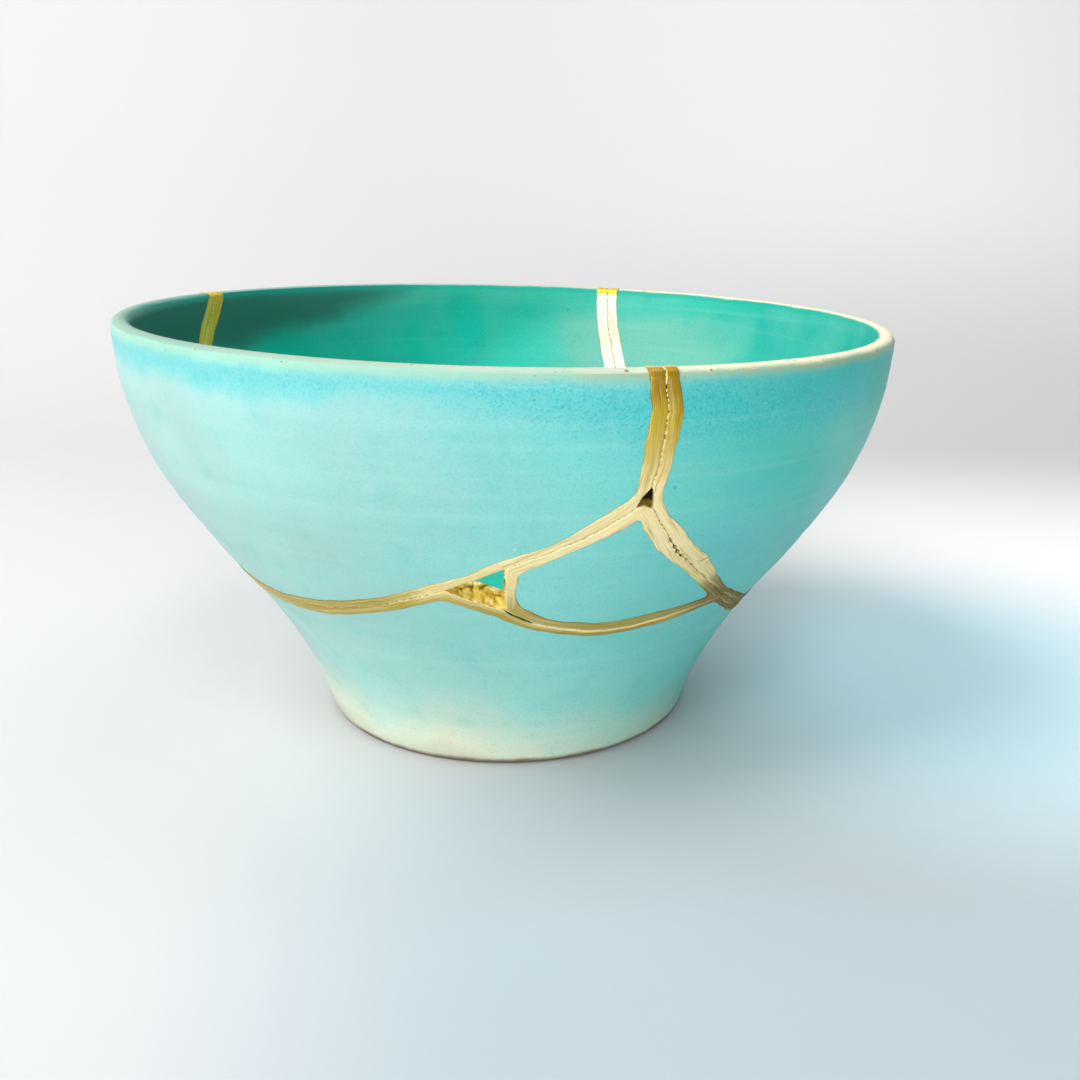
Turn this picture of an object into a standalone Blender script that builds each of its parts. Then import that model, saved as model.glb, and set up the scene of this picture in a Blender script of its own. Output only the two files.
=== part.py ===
"""Kintsugi bowl: a turned stoneware bowl, broken into five shards and mended with one gold seam."""
import math
from bisect import bisect_right

import bmesh
import bpy
from mathutils import Vector
from mathutils.geometry import delaunay_2d_cdt

# Overall sizes in metres
RIM_RADIUS = 0.065
HEIGHT = 0.069

# Outside of the wall from the foot to the rim, heights as shares of HEIGHT, radii as shares of RIM_RADIUS
OUTLINE_HEIGHTS = (0.0, 0.04, 0.12, 0.22, 0.34, 0.50, 0.68, 0.85, 1.0)
OUTLINE_RADII = (0.486, 0.500, 0.531, 0.586, 0.667, 0.797, 0.917, 0.979, 1.0)

# Wall thickness, measured square to the outside, at shares of HEIGHT
THICKNESS_HEIGHTS = (0.0, 0.35, 0.70, 1.0)
RIM_WALL = 0.0030
MIDDLE_WALL = 0.0032
LOWER_WALL = 0.0036
FOOT_WALL = 0.0052
THICKNESSES = (FOOT_WALL, LOWER_WALL, MIDDLE_WALL, RIM_WALL)

# Lip: how high it rises above the end of the wall, and its section across the wall
LIP_RISE = 0.0013
LIP_SECTION = ((0.07, 0.62), (0.32, 1.0), (0.68, 1.0), (0.93, 0.62))

# Foot, underside and the floor inside
FOOT_EDGE = 0.0007
FOOT_RING_WIDTH = 0.0050
RECESS_DEPTH = 0.0028
RECESS_SLOPE = 0.0012
FLOOR_THICKNESS = 0.0050
FLOOR_STARTS = 0.20
FLOOR_CURVE = ((0.88, 0.50), (0.62, 0.14), (0.32, 0.02))

# Gold seam: fissure through the wall, and the leaf let into the broken edges
GAP = 0.0003
FISSURE_HALF = 0.0003
LEAF_FLOOR = 0.0008
LEAF_PROUD = 0.00015

# How finely the surfaces are divided, and the shares of RIM_RADIUS within which rings have fewer points
SEGMENTS = 72
HALVED_WITHIN = 0.4
QUARTERED_WITHIN = 0.25
WALL_ROWS = 64
OUTER_RINGS = (0.07, 0.15, 0.23, 0.31, 0.40, 0.50, 0.60, 0.71, 0.82, 0.92)
INNER_RINGS = (0.90, 0.77, 0.65, 0.53, 0.42, 0.31)
CRACK_STEP = 0.0052
CORNER_ROOM = 0.0062
RING_CLEARANCE = 0.0026
CHART_RADIUS = 0.055
CHART_SLACK = 1e-7
LIP_SLACK = 1e-5
MITRE_FROM = 0.35
SLOPE_REACH = 0.004
SHARP_DEGREES = 38.0

# Share of the height at which the wall ends and the lip begins
LIP_SHARE = 1.0 - LIP_RISE / HEIGHT

# Places where cracks meet, as (degrees round from the front to the right, share of the height)
JUNCTIONS = {
    "rim_front": (17.0, LIP_SHARE),
    "rim_back": (160.4, LIP_SHARE),
    "rim_left": (245.7, LIP_SHARE),
    "fork_front": (16.6, 0.742),
    "fork_right": (40.8, 0.447),
    "fork_back": (150.0, 0.415),
    "fork_left": (262.0, 0.405),
    "chip_left": (-9.7, 0.530),
    "chip_top": (-0.9, 0.592),
    "chip_low": (-0.8, 0.480),
}

# Cracks: first junction, bends on the way, last junction
CRACKS = {
    "front": ("rim_front", ((17.5, 0.93), (17.5, 0.86), (17.2, 0.80)), "fork_front"),
    "upper": ("fork_front", ((12.9, 0.699), (9.2, 0.664), (3.8, 0.624)), "chip_top"),
    "right": ("fork_front", ((19.8, 0.679), (22.7, 0.626), (28.3, 0.560), (36.2, 0.483)), "fork_right"),
    "lower": ("chip_low", ((1.6, 0.456), (7.6, 0.426), (15.9, 0.407), (28.8, 0.420)), "fork_right"),
    "chip_roof": ("chip_left", (), "chip_top"),
    "chip_sill": ("chip_left", (), "chip_low"),
    "chip_side": ("chip_top", (), "chip_low"),
    "back": ("rim_back", ((160.0, 0.90), (157.4, 0.75), (152.0, 0.58)), "fork_back"),
    "left": ("rim_left", ((248.0, 0.935), (252.0, 0.84), (256.5, 0.65)), "fork_left"),
    "ring_right": ("fork_right", ((47.0, 0.409), (58.0, 0.356), (75.0, 0.336), (112.0, 0.372)), "fork_back"),
    "ring_back": ("fork_back", ((175.0, 0.398), (205.0, 0.420), (236.0, 0.428)), "fork_left"),
    "ring_left": ("fork_left", ((290.0, 0.412), (311.4, 0.413), (325.5, 0.428), (338.3, 0.471)), "chip_left"),
}

# Shards: the cracks round each one in order, which way each is walked, and how wide the leaf lies on it
SHARDS = {
    "front_shard": (("left", 1, 0.0020), ("ring_left", 1, 0.0018), ("chip_roof", 1, 0.0017),
                    ("upper", -1, 0.0017), ("front", -1, 0.0020)),
    "right_shard": (("front", 1, 0.0021), ("right", 1, 0.0021), ("ring_right", 1, 0.0020),
                    ("back", -1, 0.0024)),
    "back_shard": (("back", 1, 0.0024), ("ring_back", 1, 0.0018), ("left", -1, 0.0020)),
    "lens_shard": (("lower", 1, 0.0018), ("right", -1, 0.0021), ("upper", 1, 0.0016),
                   ("chip_side", 1, 0.0016)),
    "foot_shard": (("ring_left", -1, 0.0017), ("ring_back", -1, 0.0018), ("ring_right", -1, 0.0020),
                   ("lower", -1, 0.0016), ("chip_sill", -1, 0.0017)),
}
CHIP = (("chip_sill", 1, FISSURE_HALF), ("chip_side", -1, FISSURE_HALF), ("chip_roof", -1, FISSURE_HALF))

# Colours read off the photograph, as linear light
GLAZE_COLOURS = {
    "front_shard": (0.235, 0.700, 0.640),
    "right_shard": (0.150, 0.520, 0.470),
    "back_shard": (0.060, 0.480, 0.380),
    "lens_shard": (0.230, 0.690, 0.640),
    "foot_shard": (0.300, 0.720, 0.650),
}
GLAZE_ROUGHNESS = 0.38
GOLD_COLOUR = (0.720, 0.500, 0.160)
GOLD_ROUGHNESS = 0.32


def smooth(keys, values, at):
    """Value at a place on the cubic through the given values, with a three-point slope at each key."""
    last = len(keys) - 1
    i = min(max(bisect_right(keys, at) - 1, 0), last - 1)
    rises = [(values[k + 1] - values[k]) / (keys[k + 1] - keys[k]) for k in range(last)]
    slopes = []
    for k in (i, i + 1):
        if k == 0 or k == last:
            slopes.append(rises[min(k, last - 1)])
            continue
        before = keys[k] - keys[k - 1]
        after = keys[k + 1] - keys[k]
        slopes.append((rises[k - 1] * after + rises[k] * before) / (before + after))
    span = keys[i + 1] - keys[i]
    t = (at - keys[i]) / span
    start = (1 + 2 * t) * (1 - t) ** 2 * values[i] + t * (1 - t) ** 2 * span * slopes[0]
    end = t * t * (3 - 2 * t) * values[i + 1] + t * t * (t - 1) * span * slopes[1]
    return start + end


def between(keys, values, at):
    """Value at a place on the straight lines through the given values."""
    i = min(max(bisect_right(keys, at) - 1, 0), len(keys) - 2)
    t = (at - keys[i]) / (keys[i + 1] - keys[i])
    return values[i] * (1 - t) + values[i + 1] * t


def outside(share):
    """Radius and height of the outside of the wall."""
    return Vector((RIM_RADIUS * smooth(OUTLINE_HEIGHTS, OUTLINE_RADII, share), HEIGHT * share))


def into_clay(share):
    """Direction square to the outside of the wall, towards the inside of the bowl."""
    along = outside(min(share + SLOPE_REACH, 1.0)) - outside(max(share - SLOPE_REACH, 0.0))
    return Vector((-along.y, along.x)).normalized()


def turned_section():
    """Half section of the bowl from under its middle, out, over the lip and in to its floor.

    Gives a list of (radius and height, direction into the clay), the numbers of the rows where rings
    of points lie, and the rows of the outside and of the inside at each share of the height.
    """
    up = Vector((0.0, 1.0))
    foot = outside(0.0).x
    inner_ring = foot - FOOT_EDGE - FOOT_RING_WIDTH
    rows = [
        (Vector((0.0, RECESS_DEPTH)), up),
        (Vector((inner_ring - RECESS_SLOPE, RECESS_DEPTH)), up),
        (Vector((inner_ring, 0.0)), up),
        (Vector((foot - FOOT_EDGE, 0.0)), up),
    ]
    rings = [1, 2, 3]
    foot_share = FOOT_EDGE / HEIGHT
    shares = [foot_share + (LIP_SHARE - foot_share) * k / WALL_ROWS for k in range(WALL_ROWS + 1)]
    outer = {}
    for share in shares:
        outer[share] = len(rows)
        rows.append((outside(share), into_clay(share)))
    rings.append(outer[shares[0]])
    rings += [outer[min(shares, key=lambda value: abs(value - ring))] for ring in OUTER_RINGS]
    rings.append(len(rows) - 1)
    wall_end, inward = rows[-1]
    inner_end = wall_end + inward * smooth(THICKNESS_HEIGHTS, THICKNESSES, shares[-1])
    lip = []
    for across, lift in LIP_SECTION:
        place = wall_end.lerp(inner_end, across)
        place.y = place.y * (1 - lift) + HEIGHT * lift
        lip.append(len(rows))
        rows.append((place, inward * (1 - 2 * across) - up * lift))
    rings += lip
    inner = {}
    for share in reversed(shares):
        if share < FLOOR_STARTS:
            break
        inner[share] = len(rows)
        inward = into_clay(share)
        rows.append((outside(share) + inward * smooth(THICKNESS_HEIGHTS, THICKNESSES, share), -inward))
    rings.append(inner[shares[-1]])
    rings += [inner[min(inner, key=lambda value: abs(value - ring))] for ring in INNER_RINGS]
    rings.append(len(rows) - 1)
    edge = rows[-1][0]
    bottom = RECESS_DEPTH + FLOOR_THICKNESS
    for out, lift in FLOOR_CURVE:
        rings.append(len(rows))
        rows.append((Vector((edge.x * out, bottom + (edge.y - bottom) * lift)), -up))
    rows.append((Vector((0.0, bottom)), -up))
    return rows, rings, outer, inner, lip


ROWS, RINGS, OUTER, INNER, LIP = turned_section()
STATIONS = [0.0]
for earlier, later in zip(ROWS, ROWS[1:]):
    STATIONS.append(STATIONS[-1] + (later[0] - earlier[0]).length)
PLACES = [row[0] for row in ROWS]
INTO = [row[1] for row in ROWS]
LIP_STARTS = STATIONS[LIP[0] - 1] - LIP_SLACK
LIP_ENDS = STATIONS[LIP[-1] + 1] + LIP_SLACK


def station(share, rows):
    """Distance along the section to a share of the height, on the outside or the inside."""
    keys = sorted(rows)
    return between(keys, [STATIONS[rows[key]] for key in keys], share)


def on_skin(angle, along, depth):
    """Point of the bowl at an angle, a distance along the section and a depth into the clay."""
    place = between(STATIONS, PLACES, along) + between(STATIONS, INTO, along) * depth
    turn = math.radians(angle)
    return Vector((place.x * math.sin(turn), -place.x * math.cos(turn), place.y))


def turned_by(first, second):
    """Smallest turn from one angle to another in degrees."""
    return (second - first + 180.0) % 360.0 - 180.0


def crack_line(name):
    """Points (angle, share) along a crack, evenly spaced but for a longer first and last step."""
    first, bends, last = CRACKS[name]
    knots = [JUNCTIONS[first], *bends, JUNCTIONS[last]]
    angles = [knots[0][0]]
    lengths = [0.0]
    for before, after in zip(knots, knots[1:]):
        turn = turned_by(before[0], after[0])
        angles.append(angles[-1] + turn)
        radius = outside((before[1] + after[1]) / 2).x
        rise = station(after[1], OUTER) - station(before[1], OUTER)
        lengths.append(lengths[-1] + math.hypot(math.radians(turn) * radius, rise))
    shares = [knot[1] for knot in knots]
    length = lengths[-1]
    middle = length - 2 * CORNER_ROOM
    count = round(middle / CRACK_STEP)
    steps = [0.0, length / 2, length]
    if count > 0:
        steps = [0.0, *(CORNER_ROOM + middle * i / count for i in range(count + 1)), length]
    return [(smooth(lengths, angles, at), smooth(lengths, shares, at)) for at in steps]


LINES = {name: crack_line(name) for name in CRACKS}


def chain_of(sides):
    """Points and leaf widths round a list of cracks, with the angles running on without a jump."""
    points = []
    widths = []
    for name, way, width in sides:
        line = LINES[name][::way]
        for angle, share in line[:-1]:
            points.append([angle, share])
            widths.append(width)
    name, way, width = sides[-1]
    points.append(list(LINES[name][::way][-1]))
    for before, after in zip(points, points[1:]):
        after[0] = before[0] + turned_by(before[0], after[0])
    return points, widths


def border_of(sides, reaches_rim):
    """Loops on the skin round a piece, the leaf width on each side of them, and the broken faces.

    A shard that reaches the rim has one loop, up the outside, over the lip and down the inside.
    Any other piece has one loop outside and one inside. Broken faces are numbers of loop points.
    """
    points, widths = chain_of(sides)
    if not reaches_rim:
        points.pop()
    count = len(points)
    outer = [(angle, station(share, OUTER)) for angle, share in points]
    inner = [(angle, station(share, INNER)) for angle, share in points][::-1]
    if not reaches_rim:
        inner_widths = widths[::-1][1:] + widths[-1:]
        breaks = []
        for i in range(count):
            after = (i + 1) % count
            breaks.append([i, after, 2 * count - 1 - after, 2 * count - 1 - i])
        return [outer, inner], [widths, inner_widths], breaks
    lips = len(LIP)
    rise = [(points[-1][0], STATIONS[row]) for row in LIP]
    fall = [(points[0][0], STATIONS[row]) for row in reversed(LIP)]
    loop = outer + rise + inner + fall
    loop_widths = widths + widths[-1:] * (lips + 1) + widths[::-1] + widths[:1] * (lips + 1)
    twin = 2 * count + lips - 1
    breaks = [[i, i + 1, twin - i - 1, twin - i] for i in range(count - 1)]
    breaks.append(list(range(count - 1, count + lips + 1)))
    breaks.append(list(range(twin, twin + lips + 1)) + [0])
    return [loop], [loop_widths], breaks


def inset(loop, widths):
    """Loop moved to its left by the width beside each side, with mitred corners, level over the lip."""
    count = len(loop)
    moved = []
    for i, (angle, along) in enumerate(loop):
        radius = between(STATIONS, PLACES, along).x
        legs = []
        for start, end in ((loop[i - 1], loop[i]), (loop[i], loop[(i + 1) % count])):
            turn = math.radians(turned_by(start[0], end[0]))
            legs.append(Vector((turn * radius, end[1] - start[1])).normalized())
        before, after = legs
        bend = before.x * after.y - before.y * after.x
        if LIP_STARTS < along < LIP_ENDS:
            shift = Vector((-math.copysign(widths[i], before.y + after.y), 0.0))
        elif abs(bend) < MITRE_FROM:
            across = Vector((-before.y - after.y, before.x + after.x)).normalized()
            shift = across * (widths[i - 1] + widths[i]) / 2
        else:
            shift = (after * widths[i - 1] - before * widths[i]) / bend
        moved.append((angle + math.degrees(shift.x / radius), along + shift.y))
    return moved


def widened(widths, extra):
    """Every width with the same amount added."""
    return [width + extra for width in widths]


def evenly(widths, value):
    """One value for every side."""
    return [value] * len(widths)


def strip_chart(angle, along):
    """Flat picture of the wall, unrolled."""
    return Vector((math.radians(angle) * CHART_RADIUS, along))


def disc_chart(angle, along):
    """Flat picture of the whole skin, spread out from under the middle of the foot."""
    turn = math.radians(angle)
    return Vector((along * math.cos(turn), along * math.sin(turn)))


def floor_chart(angle, along):
    """Flat picture of the skin, spread out from the middle of the floor."""
    return disc_chart(angle, STATIONS[-1] - along)


def inside(spot, sides):
    """True where a spot on a chart lies within an odd number of loops."""
    hits = 0
    for a, b in sides:
        if (a.y > spot.y) != (b.y > spot.y):
            if spot.x < a.x + (b.x - a.x) * (spot.y - a.y) / (b.y - a.y):
                hits += 1
    return hits % 2 == 1


def clear_of(spot, sides):
    """True where a spot on a chart keeps its distance from every side of the loops."""
    for a, b in sides:
        side = b - a
        t = max(0.0, min(1.0, (spot - a).dot(side) / side.length_squared))
        if (a + side * t - spot).length < RING_CLEARANCE:
            return False
    return True


def ring_points(first_angle, last_angle):
    """Points of the rings of the skin between two angles, fewer of them close to the middle."""
    points = []
    for row in RINGS:
        radius = PLACES[row].x
        count = SEGMENTS
        if radius < RIM_RADIUS * QUARTERED_WITHIN:
            count = SEGMENTS // 4
        elif radius < RIM_RADIUS * HALVED_WITHIN:
            count = SEGMENTS // 2
        step = 360.0 / count
        for k in range(math.ceil(first_angle / step), math.ceil(last_angle / step)):
            points.append((k * step, STATIONS[row]))
    return points


def fill(loops, extra, chart):
    """Places on the skin and the triangles between them that fill the loops on a chart."""
    places = []
    edges = []
    for loop in loops:
        first = len(places)
        count = len(loop)
        places += loop
        edges += [(first + i, first + (i + 1) % count) for i in range(count)]
    flat = [chart(*place) for place in places]
    sides = [(flat[a], flat[b]) for a, b in edges]
    for place in extra:
        spot = chart(*place)
        if inside(spot, sides) and clear_of(spot, sides):
            places.append(place)
            flat.append(spot)
    spots, _, faces, sources, _, _ = delaunay_2d_cdt(flat, edges, [], 0, CHART_SLACK)
    triangles = []
    for face in faces:
        middle = sum((spots[i] for i in face), Vector((0.0, 0.0))) / len(face)
        if inside(middle, sides):
            triangles.append([sources[i][0] for i in face])
    return places, triangles


def broken_edge(bm, skin, border, band, fissure, floor):
    """Step under the leaf and the broken faces, from the skin points of a piece's loops."""
    loops, widths, breaks = border
    shoulder = []
    fracture = []
    for loop, sides in zip(loops, widths):
        first = len(shoulder)
        count = len(loop)
        shoulder += [bm.verts.new(on_skin(*place, floor)) for place in inset(loop, widened(sides, band))]
        fracture += [bm.verts.new(on_skin(*place, floor)) for place in inset(loop, evenly(sides, fissure))]
        for i in range(first, first + count):
            after = first + (i + 1 - first) % count
            bm.faces.new((skin[i], skin[after], shoulder[after], shoulder[i]))
            bm.faces.new((shoulder[i], shoulder[after], fracture[after], fracture[i]))
    for face in breaks:
        bm.faces.new([fracture[i] for i in face])


def finish(bm, name, colour, metallic, roughness):
    """Closed piece with its own material, round surfaces smooth and broken edges sharp."""
    bmesh.ops.recalc_face_normals(bm, faces=bm.faces[:])
    mesh = bpy.data.meshes.new(name)
    bm.to_mesh(mesh)
    bm.free()
    mesh.shade_smooth()
    mesh.set_sharp_from_angle(angle=math.radians(SHARP_DEGREES))
    material = bpy.data.materials.new(name)
    material.use_nodes = True
    shader = material.node_tree.nodes["Principled BSDF"]
    shader.inputs["Base Color"].default_value = (*colour, 1.0)
    shader.inputs["Metallic"].default_value = metallic
    shader.inputs["Roughness"].default_value = roughness
    mesh.materials.append(material)
    piece = bpy.data.objects.new(name, mesh)
    bpy.context.scene.collection.objects.link(piece)


def make_shard(name, border):
    """One shard of the bowl, stepped down all along its broken edges to take the leaf."""
    loops, widths, _ = border
    edge = [inset(loop, widened(sides, GAP)) for loop, sides in zip(loops, widths)]
    if name == "foot_shard":
        rings = ring_points(0.0, 360.0)
        sheets = [([edge[0]], rings + [(0.0, 0.0)], disc_chart),
                  ([edge[1]], rings + [(0.0, STATIONS[-1])], floor_chart)]
    else:
        angles = [angle for loop in edge for angle, _ in loop]
        sheets = [(edge, ring_points(min(angles), max(angles)), strip_chart)]
    bm = bmesh.new()
    skin = []
    for sheet_loops, extra, chart in sheets:
        places, triangles = fill(sheet_loops, extra, chart)
        points = [bm.verts.new(on_skin(*place, 0.0)) for place in places]
        for triangle in triangles:
            bm.faces.new([points[i] for i in triangle])
        skin += points[:sum(len(loop) for loop in sheet_loops)]
    broken_edge(bm, skin, border, GAP, FISSURE_HALF + GAP, LEAF_FLOOR)
    finish(bm, name, GLAZE_COLOURS[name], 0.0, GLAZE_ROUGHNESS)


def make_gold(borders, chip):
    """The seam: leaf outside, inside and over the lip, joined through every crack, open at the chip."""
    edges = []
    for loops, widths, _ in borders:
        edges += [inset(loop, sides) for loop, sides in zip(loops, widths)]
    chip_loops, chip_widths, chip_breaks = chip
    edges += [inset(loop, sides) for loop, sides in zip(chip_loops, chip_widths)]
    places, triangles = fill(edges, [], disc_chart)
    bm = bmesh.new()
    skin = [bm.verts.new(on_skin(*place, -LEAF_PROUD)) for place in places]
    for triangle in triangles:
        bm.faces.new([skin[i] for i in triangle])
    first = 0
    for border in borders:
        count = sum(len(loop) for loop in border[0])
        broken_edge(bm, skin[first:first + count], border, 0.0, FISSURE_HALF, LEAF_FLOOR - GAP)
        first += count
    for face in chip_breaks:
        bm.faces.new([skin[first + i] for i in face])
    finish(bm, "gold_seam", GOLD_COLOUR, 1.0, GOLD_ROUGHNESS)


for item in list(bpy.data.objects):
    bpy.data.objects.remove(item, do_unlink=True)

shard_borders = {}
for shard_name, shard_sides in SHARDS.items():
    shard_borders[shard_name] = border_of(shard_sides, CRACKS[shard_sides[0][0]][0].startswith("rim"))
for shard_name, shard_border in shard_borders.items():
    make_shard(shard_name, shard_border)
make_gold(list(shard_borders.values()), border_of(CHIP, False))
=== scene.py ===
"""Kintsugi bowl in its finish: speckled turquoise glaze on five shards, and one brushed gold seam."""

import math
from bisect import bisect_right

import bpy
import numpy as np
from mathutils import Matrix, Vector
from mathutils.geometry import delaunay_2d_cdt


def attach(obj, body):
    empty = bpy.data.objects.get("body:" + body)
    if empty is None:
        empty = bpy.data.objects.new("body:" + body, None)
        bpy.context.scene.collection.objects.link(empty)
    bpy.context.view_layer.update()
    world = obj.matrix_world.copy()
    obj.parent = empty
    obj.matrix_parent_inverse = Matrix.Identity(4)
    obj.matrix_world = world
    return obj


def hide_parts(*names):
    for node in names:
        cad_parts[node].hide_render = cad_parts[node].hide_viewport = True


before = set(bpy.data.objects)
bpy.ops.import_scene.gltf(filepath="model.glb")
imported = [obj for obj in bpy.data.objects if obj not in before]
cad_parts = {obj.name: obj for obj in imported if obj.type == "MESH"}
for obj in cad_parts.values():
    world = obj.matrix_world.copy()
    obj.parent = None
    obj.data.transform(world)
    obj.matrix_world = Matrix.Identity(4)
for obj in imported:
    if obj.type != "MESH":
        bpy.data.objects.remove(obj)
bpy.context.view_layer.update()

# Shape of the bowl, as in the CAD source, in metres
RIM_RADIUS = 0.065
HEIGHT = 0.069
OUTLINE_HEIGHTS = (0.0, 0.04, 0.12, 0.22, 0.34, 0.50, 0.68, 0.85, 1.0)
OUTLINE_RADII = (0.486, 0.500, 0.531, 0.586, 0.667, 0.797, 0.917, 0.979, 1.0)
THICKNESS_HEIGHTS = (0.0, 0.35, 0.70, 1.0)
THICKNESSES = (0.0052, 0.0036, 0.0032, 0.0030)
LIP_RISE = 0.0013
LIP_FULLNESS = 2.5
FOOT_EDGE = 0.0007
FOOT_RING_WIDTH = 0.0050
RECESS_DEPTH = 0.0028
RECESS_SLOPE = 0.0012
FLOOR_THICKNESS = 0.0050
FLOOR_STARTS = 0.20
FLOOR_HEIGHTS = (0.0, 0.02, 0.14, 0.50, 1.0)
FLOOR_PLACES = (0.0, 0.32, 0.62, 0.88, 1.0)
LIP_SHARE = 1.0 - LIP_RISE / HEIGHT
WALL_ROWS = 220
LIP_ROWS = 17
FLOOR_ROWS = 24

# Places where cracks meet, and the cracks, as in the CAD source
JUNCTIONS = {
    "rim_front": (17.0, LIP_SHARE),
    "rim_back": (160.4, LIP_SHARE),
    "rim_left": (245.7, LIP_SHARE),
    "fork_front": (16.6, 0.742),
    "fork_right": (40.8, 0.447),
    "fork_back": (150.0, 0.415),
    "fork_left": (262.0, 0.405),
    "chip_left": (-9.7, 0.530),
    "chip_top": (-0.9, 0.592),
    "chip_low": (-0.8, 0.480),
}
CRACKS = {
    "front": ("rim_front", ((17.5, 0.93), (17.5, 0.86), (17.2, 0.80)), "fork_front"),
    "upper": ("fork_front", ((12.9, 0.699), (9.2, 0.664), (3.8, 0.624)), "chip_top"),
    "right": ("fork_front", ((19.8, 0.679), (22.7, 0.626), (28.3, 0.560), (36.2, 0.483)), "fork_right"),
    "lower": ("chip_low", ((1.6, 0.456), (7.6, 0.426), (15.9, 0.407), (28.8, 0.420)), "fork_right"),
    "chip_roof": ("chip_left", (), "chip_top"),
    "chip_sill": ("chip_left", (), "chip_low"),
    "chip_side": ("chip_top", (), "chip_low"),
    "back": ("rim_back", ((160.0, 0.90), (157.4, 0.75), (152.0, 0.58)), "fork_back"),
    "left": ("rim_left", ((248.0, 0.935), (252.0, 0.84), (256.5, 0.65)), "fork_left"),
    "ring_right": ("fork_right", ((47.0, 0.409), (58.0, 0.356), (75.0, 0.336), (112.0, 0.372)),
                   "fork_back"),
    "ring_back": ("fork_back", ((175.0, 0.398), (205.0, 0.420), (236.0, 0.428)), "fork_left"),
    "ring_left": ("fork_left", ((290.0, 0.412), (311.4, 0.413), (325.5, 0.428), (338.3, 0.471)),
                  "chip_left"),
}
SHARDS = {
    "front_shard": (("left", 1), ("ring_left", 1), ("chip_roof", 1), ("upper", -1), ("front", -1)),
    "right_shard": (("front", 1), ("right", 1), ("ring_right", 1), ("back", -1)),
    "back_shard": (("back", 1), ("ring_back", 1), ("left", -1)),
    "lens_shard": (("lower", 1), ("right", -1), ("upper", 1), ("chip_side", 1)),
    "foot_shard": (("ring_left", -1), ("ring_back", -1), ("ring_right", -1), ("lower", -1),
                   ("chip_sill", -1)),
}
CHIP = (("chip_sill", 1), ("chip_side", -1), ("chip_roof", -1))

# Gold on the left (1) or right (-1) of a crack: shares of the crack's length, and widths in millimetres
GOLD_WIDTHS = {
    ("front", -1): ((0.0, 0.24, 0.38, 0.54, 0.71, 0.84, 1.0), (2.2, 2.3, 2.45, 2.65, 2.5, 2.05, 2.0)),
    ("front", 1): ((0.0, 0.1, 0.25, 0.37, 0.5, 0.64, 1.0), (1.75, 2.0, 2.25, 2.15, 1.85, 1.7, 1.9)),
    ("upper", -1): ((0.0, 0.26, 0.46, 0.63, 0.86, 1.0), (1.9, 2.0, 1.7, 1.15, 1.5, 1.7)),
    ("upper", 1): ((0.0, 0.24, 0.43, 0.63, 0.85, 1.0), (1.6, 1.95, 1.4, 1.45, 1.7, 2.0)),
    ("chip_roof", 1): ((0.0, 0.42, 0.75, 1.0), (2.0, 1.3, 1.6, 1.7)),
    ("chip_side", 1): ((0.0, 0.46, 0.8, 1.0), (2.3, 1.4, 1.75, 2.3)),
    ("chip_sill", -1): ((0.0, 0.5, 0.85, 1.0), (2.1, 1.95, 1.95, 1.9)),
    ("lower", 1): ((0.0, 0.1, 0.21, 0.31, 0.44, 0.6, 0.9, 1.0),
                   (2.4, 2.25, 1.75, 2.0, 2.1, 2.4, 1.6, 1.6)),
    ("lower", -1): ((0.0, 0.1, 0.3, 0.44, 0.53, 0.7, 0.9, 1.0),
                    (1.8, 1.7, 1.3, 1.55, 1.35, 1.7, 1.4, 1.8)),
    ("right", -1): ((0.0, 0.07, 0.26, 0.36, 0.52, 0.74, 0.9), (2.0, 2.3, 2.4, 1.75, 1.3, 1.25, 1.6)),
    ("right", 1): ((0.0, 0.14, 0.26, 0.38, 0.52, 0.63, 0.78, 1.0),
                   (1.4, 1.6, 2.35, 2.4, 2.6, 2.3, 1.6, 1.3)),
    ("ring_left", 1): ((0.0, 0.5, 0.57, 0.64, 0.76, 0.86, 1.0), (1.8, 1.5, 1.15, 1.75, 1.7, 1.4, 1.9)),
    ("ring_left", -1): ((0.0, 0.54, 0.75, 0.9, 0.98, 1.0), (1.7, 1.8, 1.7, 1.7, 1.5, 1.7)),
    ("ring_right", 1): ((0.0, 0.1, 0.4, 0.7, 1.0), (1.5, 1.9, 2.3, 1.8, 2.1)),
    ("ring_right", -1): ((0.0, 0.15, 0.5, 0.8, 1.0), (1.7, 1.9, 1.6, 2.1, 1.8)),
    ("ring_back", 1): ((0.0, 0.35, 0.7, 1.0), (1.8, 1.5, 2.1, 1.8)),
    ("ring_back", -1): ((0.0, 0.3, 0.6, 1.0), (1.8, 2.0, 1.5, 1.8)),
    ("back", 1): ((0.0, 0.4, 0.8, 1.0), (2.3, 2.6, 2.2, 2.2)),
    ("back", -1): ((0.0, 0.3, 0.7, 1.0), (2.5, 2.2, 2.5, 2.3)),
    ("left", 1): ((0.0, 0.5, 1.0), (2.1, 1.8, 2.0)),
    ("left", -1): ((0.0, 0.5, 1.0), (2.0, 2.1, 1.9)),
}
THIN_GOLD = ((0.0, 1.0), (0.3, 0.3))
FINE_CRACKS = ("front", "upper", "right", "lower", "chip_roof", "chip_sill", "chip_side")
FINE_STEP = 0.00035
PLAIN_STEP = 0.0006
SHARD_MARGIN = 0.00035
HAIRLINE_HALF = 0.000075
HAIRLINE_DEPTH = 0.00008
POINT_SPACING = 0.0012

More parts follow.
